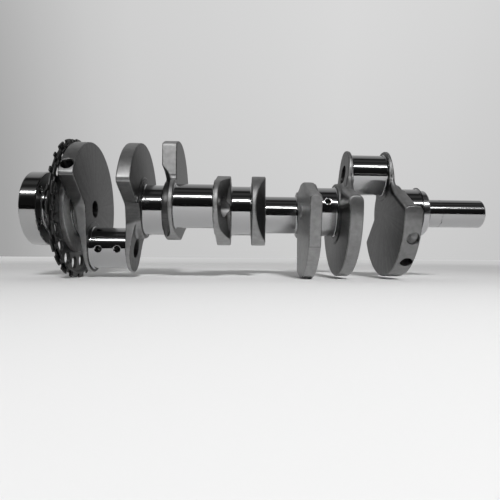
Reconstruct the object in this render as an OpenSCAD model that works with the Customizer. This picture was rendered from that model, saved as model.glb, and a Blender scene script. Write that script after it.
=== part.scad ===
// Crankshaft for a 90 degree V8 with four crank throws and five main bearings.
// Frame: X runs along the shaft from the rear flange face (X = 0) to the snout.
// The shaft axis is the X axis, and rod journal 1 is straight up, on +Z.

/* [Shaft] */
// Distance between neighbouring main bearings
bore_spacing = 111.76; // [111:0.01:113]
// Piston stroke, twice the throw of a rod journal
stroke = 101.6; // [98:0.1:104]
// Diameter of the five main journals
main_d = 65; // [63:0.1:66]
// Width of a main journal between its thrust pads
main_w = 26.2; // [25.5:0.1:27]
// Diameter of the four rod journals
rod_d = 53.34; // [52:0.01:54]
// Distance between the two webs of a throw
cheek_gap = 48.2; // [47.5:0.1:49]
// Height of the raised thrust pads around the journals
pad_h = 0.6; // [0.4:0.1:0.8]
// Radius of the thrust pad around a main journal
main_pad_r = 37.5; // [37:0.1:38.5]
// Radius of the thrust pad around a rod journal
rod_pad_r = 34; // [33:0.1:35]
// Radius of the fillet at the ends of a journal
fillet_r = 2.5; // [2:0.1:3]

/* [Webs] */
// Outer radius of the counterweights
weight_r = 86; // [84:0.5:87]
// Radius of the rounded end of a web around its rod journal
pin_end_r = 32; // [31.5:0.1:33]
// Outer radius of the two skewed counterweights
skewed_r = 89.5; // [88:0.5:90]
// Radius of the hub of the webs that carry a counterweight
hub_r = 40; // [39:0.5:41]
// Radius of the round webs that carry no counterweight
disc_r = 46; // [45:0.5:47]
// Half width of a web's neck between hub and rod journal
neck_half_w = 36; // [35:0.5:37]
// Thickness left at the tip of a web behind its rod journal
tip_t = 4.2; // [4:0.1:5]
// Radius of the hollow that thins a web towards its tip
scoop_r = 180; // [170:5:200]
// Distance from the shaft axis to the flat on the rim of a skewed counterweight
flat_r = 83.5; // [82:0.5:86]
// Slope that thins a round web towards its rod journal, in degrees
tip_slope = 21.5; // [18:0.5:24]
// Distance from the shaft axis at which that slope ends in a tip of constant thickness
tip_start = 63; // [60:1:66]
// Depth that the round webs lose at their back edge
back_cut = 13.5; // [12:0.5:14]

/* [Drillings] */
// Bore that lightens each rod journal
rod_bore_d = 25; // [20:0.5:26]
// Drilling along the shaft through the main journals
axis_bore_d = 22; // [18:0.5:23]
// Oil hole where it leaves a journal
oil_d = 5; // [4:0.5:6]
// Countersink of an oil hole
oil_mouth_d = 8; // [7:0.5:9]
// Balance holes drilled into the rims of the end counterweights
balance_d = 15; // [13:0.5:16]

/* [Rear flange] */
// Diameter of the flange, which the rear oil seal runs on
flange_d = 95.6; // [95:0.1:96.5]
// Length of the flange
flange_l = 20.7; // [20:0.1:22]
// Diameter of the pilot recess in the flange face
pilot_d = 43.3; // [42:0.1:44]
// Depth of the pilot recess
pilot_l = 10; // [8:0.5:12]
// Diameter of the pilot bearing seat behind the recess
bearing_seat_d = 27.8; // [27:0.1:28.5]
// Length of the pilot bearing seat
bearing_seat_l = 28; // [24:1:30]
// Bolt circle of the flywheel
bolt_circle_d = 79; // [78:0.1:80]
// Core diameter of the flywheel bolt threads
bolt_hole_d = 9.5; // [9:0.1:10]
// Number of flywheel bolts
bolt_count = 6; // [6:1:8]

/* [Front end] */
// Diameter of the step in front of main journal 1
hub_step_d = 61.6; // [60:0.1:62]
// Length of that step
hub_step_l = 10.8; // [9:0.1:12]
// Diameter of the snout
snout_d = 37.6; // [37:0.1:38.5]
// Length of the snout
snout_l = 80.6; // [78:0.1:84]
// Length of the timing gear's seat at the back of the snout
gear_seat_l = 20; // [18:0.5:24]
// Core diameter of the snout bolt thread
snout_bolt_d = 14; // [13.5:0.1:14.5]
// Depth of the snout bolt thread
snout_bolt_l = 50; // [40:1:60]
// Width of the key
key_w = 4.8; // [4:0.1:5]
// Length of the key
key_l = 14; // [12:1:16]
// Angle of the key around the snout, from +Z towards +Y
key_angle = 75; // [0:5:345]

/* [Timing wheel] */
// Diameter over the teeth of the two timing plates
wheel_d = 179; // [176:1:180]
// Thickness of a timing plate
plate_t = 2; // [1.8:0.1:3]
// Depth of a tooth gap
tooth_h = 4.5; // [4:0.5:5]
// Distance from the shaft axis to the windows and rivets
window_r = 70.5; // [69:0.5:72]
// Number of round windows in each plate
window_count = 18; // [12:1:18]
// Diameter of a window
window_d = 15.5; // [12:0.5:16]
// Number of rivets that join the plates
rivet_count = 9; // [6:3:9]

/* [Hidden] */

$fn = 96;
eps = 0.01;
over = 5;
throw = stroke / 2;
steel = [0.55, 0.56, 0.58];
forged = [0.42, 0.42, 0.43];
black = [0.1, 0.1, 0.11];

// Angles are counted from +Y towards +Z, as seen from the snout
pin_angles = [90, 0, 180, 270];
// Thickness of a web between its two faces, without the pads
web_t = (bore_spacing - cheek_gap - main_w - 2 * pad_h) / 2;
rod_w = cheek_gap - 2 * pad_h;

// Places along the shaft
seat_x = flange_l + main_w;
plate_rear_x = seat_x + 1;
plate_mid_x = plate_rear_x + plate_t;
plate_front_x = plate_mid_x + plate_t;
web_8_x = seat_x + 10.98;
pin_4_x = web_8_x + web_t + cheek_gap / 2;
pin_xs = [for (k = [3, 2, 1, 0]) pin_4_x + k * bore_spacing];
main_3_x = (pin_xs[1] + pin_xs[2]) / 2;
main_1_x = pin_xs[0] + bore_spacing / 2;
hub_step_x = main_1_x + main_w / 2;
snout_x = hub_step_x + hub_step_l;
end_x = snout_x + snout_l;

// The drilling along the shaft ends blind inside main journal 2
axis_bore_end = main_3_x + bore_spacing + main_w / 4;

// Radius of the seat that the timing wheel is pressed on
seat_r = 56;
// How far the rims of the rear and the front plate stand forward of their hubs
rim_set = [2.1, 4.9];
// Teeth around the wheel: 1 where the rear plate has a wide tooth and the front plate a narrow one
teeth = [0, 1, 1, 0, 0, 1, 0, 1, 1, 0, 0, 0, 1, 0, 1, 1, 1, 0, 0, 1, 0, 1, 0, 0];
tooth_pitch = 360 / len(teeth);
first_tooth = 5;
wide_tooth = 10.5;
narrow_tooth = 4.5;

// Webs 1 to 8: throw they belong to, and +1 where the main journal is on the snout side
web_pin = [0, 0, 1, 1, 2, 2, 3, 3];
web_side = [1, -1, 1, -1, 1, -1, 1, -1];
// Angles from the rod journal to the two corners of the counterweight
weight_angles = [[112.5, 90], [106.5, 82], [62, 173], [0, 0],
                 [0, 0], [62, 173], [106.5, 82], [112.5, 77]];
// Depth by which the counterweight stays behind the main journal's face, or stands past it
weight_relief = [-4.5, 1.4, 3, 0, 0, 3, 1.4, 0.4];

// A path with its corners rounded. Each point is [x, y, corner radius]
function unit(v) = v / norm(v);
function corner(a, p, b, r) =
    let (u = unit(a - p), w = unit(b - p))
    let (half = acos(u * w) / 2)
    let (centre = p + unit(u + w) * r / sin(half))
    let (start = p + u * r / tan(half), end = p + w * r / tan(half))
    let (a0 = atan2(start.y - centre.y, start.x - centre.x))
    let (a1 = atan2(end.y - centre.y, end.x - centre.x))
    let (turn = a1 - a0 > 180 ? a1 - a0 - 360 : a1 - a0 < -180 ? a1 - a0 + 360 : a1 - a0)
    let (steps = ceil(abs(turn) / 7.5))
    [for (i = [0 : steps]) centre + r * [cos(a0 + turn * i / steps), sin(a0 + turn * i / steps)]];
function flat2(p) = [p.x, p.y];
function rounded(path) =
    let (n = len(path))
    [for (i = [0 : n - 1])
        let (p = path[i])
        each (p[2] == 0 ? [flat2(p)]
                        : corner(flat2(path[(i + n - 1) % n]), flat2(p), flat2(path[(i + 1) % n]), p[2]))];

// A point at a radius and an angle from the rod journal, positive towards the trailing side
function on_web(r, a) = [r * sin(a), r * cos(a)];

// Outline of a web, rod journal up, for a counterweight behind the throw (webs 1, 2, 7 and 8)
function trailing_path(a, b) =
    let (out_a = on_web(weight_r, a), out_b = on_web(weight_r, -b))
    let (neck_a = [neck_half_w + 0.5, 0], neck_b = [2 - neck_half_w, 30])
    let (far_a = neck_a + 1.6 * (out_a - neck_a), far_b = neck_b + 1.6 * (out_b - neck_b))
    [[pin_end_r, throw, 0], [neck_a.x, neck_a.y, 18], [far_a.x, far_a.y, 0],
     [far_a.x, -120, 0], [far_b.x, -120, 0], [far_b.x, far_b.y, 0],
     [neck_b.x, neck_b.y, 30], [-pin_end_r, throw, 0]];

// Outline of a web whose counterweight is skewed to one side (webs 3 and 6)
function skewed_path(a, b) =
    let (out_a = on_web(skewed_r, a), out_b = on_web(skewed_r, -b))
    let (neck_a = [pin_end_r + 1, 43], neck_b = [-27, -41])
    let (far_a = neck_a + 1.5 * (out_a - neck_a), far_b = neck_b + 1.5 * (out_b - neck_b))
    [[pin_end_r, throw, 0], [neck_a.x, neck_a.y, 6], [far_a.x, far_a.y, 0],
     [120, -120, 0], [far_b.x, -120, 0], [far_b.x, far_b.y, 0],
     [neck_b.x, neck_b.y, 30], [-hub_r, -6, 30], [-pin_end_r, throw, 0]];

// Places a shape that is drawn with the rod journal up and Z away from it into web n
module at_web(n) {
    pin = web_pin[n - 1];
    side = web_side[n - 1];
    translate([pin_xs[pin] + side * cheek_gap / 2, 0, 0])
        rotate([pin_angles[pin] - 90, 0, 0])
            mirror([side < 0 ? 1 : 0, 0, 0])
                rotate([90, 0, 90])
                    children();
}

// A cylinder along the shaft from one place to another
module along(x0, x1, r) {
    translate([x0, 0, 0])
        rotate([0, 90, 0])
            cylinder(h = x1 - x0, r = r);
}

// Drilling along the shaft
module axis_bore() {
    along(flange_l, axis_bore_end, axis_bore_d / 2);
}

// Lightening bore of throw k, counted from 0 at the snout end
module rod_bore(k) {
    length = cheek_gap + 2 * web_t + 2 * over;
    translate([pin_xs[k] - length / 2, throw * cos(pin_angles[k]), throw * sin(pin_angles[k])])
        rotate([0, 90, 0])
            cylinder(h = length, d = rod_bore_d);
}

// Hollow that thins the rod journal end of a web on its main journal side
module scoop() {
    half_w = neck_half_w + 3;
    difference() {
        translate([-half_w, throw + 24, tip_t + scoop_r])
            rotate([0, 90, 0])
                cylinder(h = 2 * half_w, r = scoop_r, $fn = 180);
        translate([0, 0, -over])
            cylinder(h = web_t + 2 * over, r = main_pad_r);
        translate([-half_w - over, -2 * scoop_r, -over])
            cube([2 * half_w + 2 * over, 2 * scoop_r + 4, 2 * scoop_r]);
    }
}

// Outline of a round web: an arc round the shaft and one round the rod journal, with tangents between
function round_path() =
    let (lean = asin((disc_r - pin_end_r) / throw), step = (180 + 2 * lean) / 36)
    concat([for (i = [0 : 36]) let (t = 180 - lean + i * step) disc_r * [cos(t), sin(t)]],
           [for (i = [0 : 24]) let (t = lean + i * (180 - 2 * lean) / 24)
                [pin_end_r * cos(t), throw + pin_end_r * sin(t)]]);

// Outline of web n, rod journal up
module web_outline(n) {
    a = weight_angles[n - 1][0];
    b = weight_angles[n - 1][1];
    if (a == 0) {
        polygon(round_path());
    } else {
        translate([0, throw])
            circle(r = pin_end_r);
        circle(r = main_pad_r);
        intersection() {
            circle(r = a < 90 ? skewed_r : weight_r, $fn = 180);
            polygon(rounded(a < 90 ? skewed_path(a, b) : trailing_path(a, b)));
        }
    }
}

// Thrust pads: around the rod journal at Z = 0, around the main journal at Z = web_t
module pads(n) {
    translate([0, 0, -pad_h])
        linear_extrude(height = pad_h + eps)
            intersection() {
                web_outline(n);
                translate([0, throw])
                    circle(r = rod_pad_r);
            }
    translate([0, 0, web_t - eps])
        cylinder(h = pad_h + eps, r = main_pad_r);
}

// What the counterweight stands back from, or past, the main journal's face
module face_relief(relief) {
    ring_t = abs(relief);
    reach = skewed_r + over;
    translate([0, 0, relief > 0 ? web_t - relief : web_t])
        difference() {
            translate([-reach, -reach, 0])
                cube([2 * reach, reach + 2, ring_t + (relief > 0 ? over : 0)]);
            translate([0, 0, -over])
                cylinder(h = ring_t + 3 * over, r = main_pad_r + 4);
        }
}

// Web with a counterweight
module weighted_web(n) {
    relief = weight_relief[n - 1];
    skewed = weight_angles[n - 1][0] < 90;
    difference() {
        union() {
            linear_extrude(height = web_t)
                web_outline(n);
            pads(n);
            if (relief < 0)
                intersection() {
                    linear_extrude(height = web_t + over)
                        web_outline(n);
                    face_relief(relief);
                }
        }
        if (relief > 0)
            face_relief(relief);
        scoop();
        if (skewed)
            rotate([0, 0, weight_angles[n - 1][1] + 18.5])
                translate([-weight_r, flat_r, -over])
                    cube([2 * weight_r, weight_r, web_t + 2 * over]);
    }
}

// Round web without a counterweight, thinned at its back on the rod journal side
module round_web(n) {
    back_start = 20;
    back_angle = atan2(back_cut, disc_r - back_start);
    half_w = disc_r + over;
    difference() {
        union() {
            linear_extrude(height = web_t)
                web_outline(n);
            pads(n);
        }
        difference() {
            union() {
                translate([-half_w, tip_start, tip_t])
                    rotate([-tip_slope, 0, 0])
                        translate([0, -2 * disc_r, 0])
                            cube([2 * half_w, 2 * disc_r, disc_r]);
                translate([-half_w, tip_start - eps, tip_t])
                    cube([2 * half_w, 2 * pin_end_r, web_t]);
            }
            cylinder(h = web_t + 2 * over, r = main_pad_r);
        }
        translate([-disc_r - over, -back_start, 0])
            rotate([-back_angle, 0, 0])
                translate([0, -2 * disc_r, -2 * disc_r])
                    cube([2 * disc_r + 2 * over, 2 * disc_r, 2 * disc_r]);
    }
}

// Hole drilled from the rim of a counterweight towards the shaft axis
module balance_hole(x, angle, depth) {
    translate([x, 0, 0])
        rotate([angle - 90, 0, 0])
            translate([0, 0, weight_r - depth]) {
                cylinder(h = depth + over, d = balance_d);
                translate([0, 0, -balance_d / 4])
                    cylinder(h = balance_d / 4 + eps, r1 = 0, r2 = balance_d / 2, $fn = 48);
            }
}

module web_1() {
    x = main_1_x - main_w / 2 - pad_h - web_t / 2 + 4.7;
    color(forged)
        difference() {
            at_web(1) weighted_web(1);
            rod_bore(0);
            balance_hole(x, 206.5, 5);
            balance_hole(x, 231, 32);
        }
}

module web_2() {
    color(forged)
        difference() {
            at_web(2) weighted_web(2);
            rod_bore(0);
        }
}

module web_3() {
    color(forged)
        difference() {
            at_web(3) weighted_web(3);
            rod_bore(1);
            axis_bore();
        }
}

module web_4() {
    color(forged)
        difference() {
            at_web(4) round_web(4);
            rod_bore(1);
            axis_bore();
        }
}

module web_5() {
    color(forged)
        difference() {
            at_web(5) round_web(5);
            rod_bore(2);
            axis_bore();
        }
}

module web_6() {
    color(forged)
        difference() {
            at_web(6) weighted_web(6);
            rod_bore(2);
            axis_bore();
        }
}

module web_7() {
    color(forged)
        difference() {
            at_web(7) weighted_web(7);
            rod_bore(3);
            axis_bore();
        }
}

module web_8() {
    color(forged)
        difference() {
            at_web(8) weighted_web(8);
            rod_bore(3);
            axis_bore();
            balance_hole(web_8_x + web_t / 2, 148, 32);
        }
}

// Journal along X, centred, with a fillet at each end
module journal(d, w, bore_d) {
    r = d / 2;
    rotate([0, 90, 0])
        rotate_extrude()
            difference() {
                translate([bore_d / 2, -w / 2])
                    square([r + fillet_r - bore_d / 2, w]);
                translate([r, fillet_r - w / 2])
                    square([fillet_r + over, w - 2 * fillet_r]);
                for (s = [-1, 1])
                    translate([r + fillet_r, s * (w / 2 - fillet_r)])
                        circle(r = fillet_r, $fn = 48);
            }
}

// Oil hole from the surface inwards, at an angle around the journal
module oil_hole(x, d, angle, depth) {
    translate([x, 0, 0])
        rotate([angle - 90, 0, 0]) {
            translate([0, 0, d / 2 - depth])
                cylinder(h = depth + over, d = oil_d, $fn = 32);
            translate([0, 0, d / 2 - 1.2])
                cylinder(h = 1.6, d1 = oil_d, d2 = oil_mouth_d + 1, $fn = 32);
        }
}

// Rod journal of throw k with two oil holes, one for each connecting rod
module rod_journal(k, angle) {
    color(steel)
        translate([pin_xs[k], throw * cos(pin_angles[k]), throw * sin(pin_angles[k])])
            difference() {
                journal(rod_d, rod_w, rod_bore_d);
                for (s = [-1, 1])
                    oil_hole(s * rod_w / 4, rod_d, angle, rod_d / 2 - rod_bore_d / 2 + 1);
            }
}

// Main journal n with its oil holes, bored where the drilling along the shaft reaches it
module main_journal(n, angles) {
    x = n == 5 ? flange_l + main_w / 2 : main_1_x - (n - 1) * bore_spacing;
    color(steel)
        difference() {
            translate([x, 0, 0])
                journal(main_d, main_w, 0);
            for (a = angles)
                translate([x, 0, 0])
                    oil_hole(0, main_d, a, main_d / 2 - axis_bore_d / 2 + 1);
            if (n > 1)
                axis_bore();
            if (n == 5)
                bearing_seat();
        }
}

module rod_journal_1() { rod_journal(0, 90); }
module rod_journal_2() { rod_journal(1, 45); }
module rod_journal_3() { rod_journal(2, 80); }
module rod_journal_4() { rod_journal(3, 184); }
module main_journal_1() { main_journal(1, [60]); }
module main_journal_2() { main_journal(2, [160, 340]); }
module main_journal_3() { main_journal(3, [90, 270]); }
module main_journal_4() { main_journal(4, [90, 270]); }
module main_journal_5() { main_journal(5, [120]); }

// Seat of the pilot bearing, which runs on from the flange into main journal 5
module bearing_seat() {
    along(0, pilot_l + bearing_seat_l, bearing_seat_d / 2);
}

// Flange that the flywheel bolts to, with the oil seal's track as its rim
module rear_flange() {
    color(steel)
        difference() {
            rotate([0, 90, 0])
                rotate_extrude()
                    polygon([[0, 0], [flange_d / 2 - 1.5, 0], [flange_d / 2, 1.5],
                             [flange_d / 2, flange_l - 1], [flange_d / 2 - 1, flange_l], [0, flange_l]]);
            along(-over, pilot_l, pilot_d / 2);
            bearing_seat();
            for (i = [0 : bolt_count - 1])
                rotate([i * 360 / bolt_count, 0, 0])
                    translate([-over, 0, bolt_circle_d / 2])
                        rotate([0, 90, 0])
                            cylinder(h = flange_l + 2 * over, d = bolt_hole_d);
        }
}

// Cup plug that closes the drilling behind the pilot bearing seat
module rear_bore_plug() {
    plug_x = flange_l + main_w - 8;
    color(steel)
        translate([plug_x, 0, 0])
            rotate([0, 90, 0])
                difference() {
                    cylinder(h = 6, d = axis_bore_d);
                    translate([0, 0, -eps])
                        cylinder(h = 4.8, d = axis_bore_d - 2.4);
                }
}

// Seat of the timing wheel, between main journal 5 and web 8
module reluctor_register() {
    color(forged)
        difference() {
            along(seat_x, web_8_x - pad_h, seat_r);
            axis_bore();
        }
}

// Timing plate: a flat hub ring, a step forward and a toothed rim; wide is the value in teeth of its wide teeth
module timing_plate(x, rim_forward, wide) {
    step_r1 = 80;
    step_r2 = 84;
    r = wheel_d / 2;
    width = [for (t = teeth) t == wide ? wide_tooth : narrow_tooth];
    difference() {
        translate([x, 0, 0])
            rotate([90, 0, 90])
                rotate_extrude($fn = 180)
                    polygon([[seat_r, 0], [step_r1, 0], [step_r2, rim_forward], [r, rim_forward],
                             [r, plate_t + rim_forward], [step_r2 - 1, plate_t + rim_forward],
                             [step_r1 - 1, plate_t], [seat_r, plate_t]]);
        for (i = [0 : len(teeth) - 1]) {
            after = width[i] / 2;
            gap = tooth_pitch - after - width[(i + 1) % len(teeth)] / 2;
            half = r * sin(gap / 2);
            rotate([first_tooth + i * tooth_pitch + after + gap / 2 - 90, 0, 0])
                translate([x + rim_forward - over, -half, r - tooth_h])
                    cube([plate_t + 2 * over, 2 * half, tooth_h + over]);
        }
        for (i = [0 : window_count - 1])
            rotate([6 + i * 360 / window_count - 90, 0, 0])
                translate([x - over, 0, window_r])
                    rotate([0, 90, 0])
                        cylinder(h = plate_t + 2 * over, d = window_d, $fn = 48);
        rivets(1.8, plate_rear_x - over, plate_front_x + over);
    }
}

// Shanks of the rivets, one between every second pair of windows
module rivets(r, x0, x1) {
    for (i = [0 : rivet_count - 1])
        rotate([16 + i * 360 / rivet_count - 90, 0, 0])
            translate([x0, 0, window_r])
                rotate([0, 90, 0])
                    cylinder(h = x1 - x0, r = r, $fn = 32);
}

module reluctor_rear_plate() {
    color(black)
        timing_plate(plate_rear_x, rim_set[0], 1);
}

module reluctor_front_plate() {
    color(black)
        timing_plate(plate_mid_x, rim_set[1], 0);
}

// Rivets with a low head on each side
module reluctor_rivets() {
    color(black) {
        rivets(1.8, plate_rear_x, plate_front_x);
        rivets(3.2, plate_front_x, plate_front_x + 1.4);
        rivets(3.2, plate_rear_x - 1.4, plate_rear_x);
    }
}

// Step between main journal 1 and the snout, with its bright chamfer
module front_hub() {
    r = hub_step_d / 2;
    color(steel)
        translate([hub_step_x, 0, 0])
            rotate([90, 0, 90])
                rotate_extrude()
                    polygon([[0, 0], [r, 0], [r, hub_step_l - 2], [r - 2, hub_step_l], [0, hub_step_l]]);
}

// Key pocket and key share this shape, cut into the back of the snout
module key_block(grow) {
    rotate([-key_angle, 0, 0])
        translate([snout_x + 1, -key_w / 2, snout_d / 2 - 2.6])
            cube([key_l, key_w, 4.6 + grow]);
}

// Snout with its bolt thread, end chamfer, key pocket and the grinding groove behind the pulley's seat
module snout() {
    r = snout_d / 2;
    groove = 0.4;
    color(steel)
        difference() {
            translate([snout_x, 0, 0])
                rotate([90, 0, 90])
                    rotate_extrude()
                        polygon([[0, 0], [r, 0], [r, gear_seat_l], [r - groove, gear_seat_l + groove],
                                 [r - groove, gear_seat_l + 1.4], [r, gear_seat_l + 1.4],
                                 [r, snout_l - 2], [r - 2, snout_l], [0, snout_l]]);
            along(end_x - snout_bolt_l, end_x + over, snout_bolt_d / 2);
            translate([end_x - 1.5, 0, 0])
                rotate([0, 90, 0])
                    cylinder(h = 1.5 + eps, r1 = snout_bolt_d / 2, r2 = snout_bolt_d / 2 + 1.5);
            key_block(over);
        }
}

module snout_key() {
    color(steel)
        key_block(0);
}

rear_flange();
rear_bore_plug();
main_journal_5();
reluctor_register();
reluctor_rear_plate();
reluctor_front_plate();
reluctor_rivets();
web_8();
rod_journal_4();
web_7();
main_journal_4();
web_6();
rod_journal_3();
web_5();
main_journal_3();
web_4();
rod_journal_2();
web_3();
main_journal_2();
web_2();
rod_journal_1();
web_1();
main_journal_1();
front_hub();
snout();
snout_key();
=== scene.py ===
"""Looks of a V8 crankshaft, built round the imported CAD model."""
import math

import bpy
import numpy as np
from mathutils import Matrix, Vector


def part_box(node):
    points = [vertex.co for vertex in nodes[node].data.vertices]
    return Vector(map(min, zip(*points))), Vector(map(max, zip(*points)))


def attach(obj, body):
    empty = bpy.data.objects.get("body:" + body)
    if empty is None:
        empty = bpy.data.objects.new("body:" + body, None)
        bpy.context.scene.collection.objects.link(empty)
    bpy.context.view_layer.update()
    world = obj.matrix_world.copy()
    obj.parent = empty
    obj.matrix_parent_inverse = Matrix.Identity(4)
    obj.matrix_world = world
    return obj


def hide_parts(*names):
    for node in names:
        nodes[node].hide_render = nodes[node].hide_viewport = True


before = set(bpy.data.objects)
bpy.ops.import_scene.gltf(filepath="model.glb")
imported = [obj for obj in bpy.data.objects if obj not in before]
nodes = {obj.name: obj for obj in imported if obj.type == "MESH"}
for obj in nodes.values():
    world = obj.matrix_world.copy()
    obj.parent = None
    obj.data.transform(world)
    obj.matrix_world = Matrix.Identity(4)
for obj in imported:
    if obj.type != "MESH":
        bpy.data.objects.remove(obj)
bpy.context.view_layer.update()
MM = 0.001


def extent(node):
    """Lowest and highest X of a CAD node, in millimetres."""
    low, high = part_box(node)
    return low.x / MM, high.x / MM


# ---------------------------------------------------------------- sizes, in millimetres
# Throw of a rod journal, and where each one points, in degrees from +Y towards +Z
THROW = 50.8
PIN_ANGLES = [90, 0, 180, 270]

# Journals: radius, ground width, and the fillet at their ends
MAIN_R, ROD_R = 32.5, 26.67
MAIN_W, ROD_W = 26.2, 47.0
FILLET = 2.5
PIN_X = [sum(extent("rod_journal_%d" % k)) / 2 for k in (1, 2, 3, 4)]
MAIN_X = [sum(extent("main_journal_%d" % k)) / 2 for k in (1, 2, 3, 4, 5)]
ROD_BORE_R, AXIS_BORE_R = 12.5, 11.0
# Pilot bearing seat, which runs from the flange into main journal 5
PILOT_SEAT_R, PILOT_SEAT_END = 13.9, 38
# Directions of the oil holes, in degrees from +Y towards +Z
ROD_OIL_ANGLES = [90, 45, 80, 184]
MAIN_OIL_ANGLES = [[60], [160, 340], [90, 270], [90, 270], [120]]
# Distance of a rod journal's two oil holes from its middle
ROD_OIL_X = 11.75
# Radius of an oil hole, and the depth of its flared mouth
ROD_OIL, MAIN_OIL = (4.0, 0.5), (3.8, 0.3)
# Slope of that flare, and the divisor that makes its field a distance
OIL_FLARE, OIL_FLARE_SCALE = 1.2, 1.56
# Distance from the shaft axis at which an oil hole stops
OIL_END = 3

# Webs: thickness, distance from the middle of their rod journal, and height of the thrust pads
WEB_T, HALF_GAP, PAD = 18.08, 24.1, 0.6
MAIN_PAD_R, ROD_PAD_R = 37.5, 34.0
# Radii of the end round the rod journal, of the hub, and of the round webs
PIN_END_R, HUB_R, DISC_R = 32.0, 40.0, 46.0
# Radii of the counterweights opposite their rod journal and of the skewed ones
WEIGHT_R, SKEWED_R = 86.0, 89.5
# Half width of the neck between hub and rod journal
NECK = 36.0
# Hollow behind the rod journal: thickness it leaves, its radius, and where it is deepest
TIP_T, SCOOP_R, SCOOP_V = 4.2, 180.0, 74.8
# Half width of the hollow on a skewed web, and where it ends towards the counterweight
SKEWED_SCOOP_U, SCOOP_END_V = 58, 4
# Rod journal of each web, and on which side of it the web is
WEB_PIN = [0, 0, 1, 1, 2, 2, 3, 3]
WEB_SIDE = [1, -1, 1, -1, 1, -1, 1, -1]
# Directions in which a counterweight's flanks meet its rim, in degrees from the rod journal
WEB_ANGLES = [(112.5, 90), (106.5, 82), (62, 173), None, None, (62, 173), (106.5, 82), (112.5, 77)]
# Flat on the rim of a skewed counterweight: distance from the axis, and turn past a flank
FLAT_R, FLAT_TURN = 83.5, 18.5
# How far a counterweight is set back from its hub's front, or stands proud where negative,
# and the radius and the height towards the rod journal where that ends
WEB_RELIEF = [-4.5, 1.4, 3, 0, 0, 3, 1.4, 0.4]
RELIEF_R, RELIEF_V = 41.5, 2
# Edge radius where a flank meets the rim, along the cheeks, and along the flanks of some webs
CORNER_R = {1: 5, 2: 6, 3: 5, 6: 3, 7: 6, 8: 2.5}
EDGE_R, USUAL_EDGE_R = {1: 1.2}, 1.6
FLANK_EDGE_R = {1: 7.0, 2: 7.0, 3: 4.5}
# Nose of web 8: slope, divisor for it, where it meets the main journal side, and thickness
# that is left beside it
NOSE_SLOPE, NOSE_SCALE, NOSE_V, NOSE_T = 0.361, 1.063, -15, 11.5
# Round webs: slope of the tip in degrees, where it ends, and the cut along the back edge
TIP_SLOPE, TIP_START = 21.5, 63
BACK_CUT, BACK_START = 13.5, 20
# Balance holes in the rims, as (place across the web, direction in its own axes, depth)
BALANCE_R = 7.5
BALANCE_HOLES = {1: [(WEB_T / 2 + 4.7, 206.5, 5), (WEB_T / 2 + 4.7, 231, 32)],
                 8: [(WEB_T / 2, 328, 32)]}
# Unevenness of the blasted surface, as (width, height): broad waves and small dents
BROAD, FINE = (22, 0.09), (5, 0.03)

# Timing wheel: its seat, the step between centre and rim, and how far each rim is dished forward
WHEEL_R, PLATE_T, TOOTH_H = 89.5, 2.0, 4.5
SEAT_R, STEP_R1, STEP_R2 = 56.0, 80.0, 84.0
REAR_DISH, FRONT_DISH = 2.1, 4.9
WINDOW_R, WINDOW_COUNT, WINDOW_D, FIRST_WINDOW = 70.5, 18, 15.5, 6
RIVET_COUNT, FIRST_RIVET = 9, 16
RIVET_HEAD_T, RIVET_HEAD_R, RIVET_SHANK_R, RIVET_SHANK_HALF = 1.4, 3.2, 1.8, 2.2
TEETH = [0, 1, 1, 0, 0, 1, 0, 1, 1, 0, 0, 0, 1, 0, 1, 1, 1, 0, 0, 1, 0, 1, 0, 0]
# Widths of the teeth and the place of the first one, in degrees
WIDE_TOOTH, NARROW_TOOTH, FIRST_TOOTH = 10.5, 4.5, 5

# Flange, with its pilot recess and bolt holes
FLANGE_R, PILOT_R, PILOT_L = 47.8, 21.65, 10
BOLT_CIRCLE_R, BOLT_HOLE_R, BOLT_COUNT = 39.5, 4.75, 6

# Front end: step, snout, timing gear seat, and the threaded hole in the snout
FRONT_HUB_R, SNOUT_R, GEAR_SEAT_L, GEAR_SEAT_GROOVE = 30.8, 18.8, 20, 0.4
BOLT_R, BOLT_DEPTH, THREAD_DEPTH, THREAD_PITCH = 7, 50, 0.35, 2
# Key: direction in degrees from +Z towards +Y, half width and height, and its pocket
KEY_ANGLE, KEY_HALF_W, KEY_HALF_H, KEY_R = 75, 2.4, 2.3, 18.5
KEY_POCKET_DEPTH, KEY_POCKET_X, KEY_POCKET_HALF_L = 2.6, 8, 7

# Profiles are closed on the far side of the shaft axis, at this radius
PAST_AXIS = -5

WEB_STEP, JOURNAL_STEP, PLATE_STEP = ((1.0, 0.55, 0.8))
SMALL_STEP = {"rear_flange": 0.7, "snout": 0.6, "front_hub": 0.7, "reluctor_register": 0.9,
              "rear_bore_plug": 0.4, "snout_key": 0.45, "reluctor_rivets": 0.35}

# ---------------------------------------------------------------- finishes and painted shade
# Zone values that the materials' ramps read; a blasted surface is 0, and the second value gives a
# dark colour that is painted shade
TURNED, PAINTED_SHADE, DULL = 0.5, 0.42, 0.12
# Turned rims of the webs, the timing wheel's seat, and the front faces of turned pieces, which on
# the flange take a dark colour that is painted shade
RIM_SHINE, USUAL_SHINE = {1: 0.72, 2: 0.76, 6: 0.97, 7: 0.84}, 0.8
SEAT_SHINE, END_FACE = 0.9, 1.0


# ---------------------------------------------------------------- distance fields
def rmax(a, b, r):
    """Intersection of two fields, with the edge rounded to radius r."""
    inner = np.minimum(np.maximum(a, b), -r)
    return inner + np.hypot(np.maximum(a + r, 0), np.maximum(b + r, 0))


def rmin(a, b, r):
    """Union of two fields, with the inner corner filled to radius r."""
    return -rmax(-a, -b, r)


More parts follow.
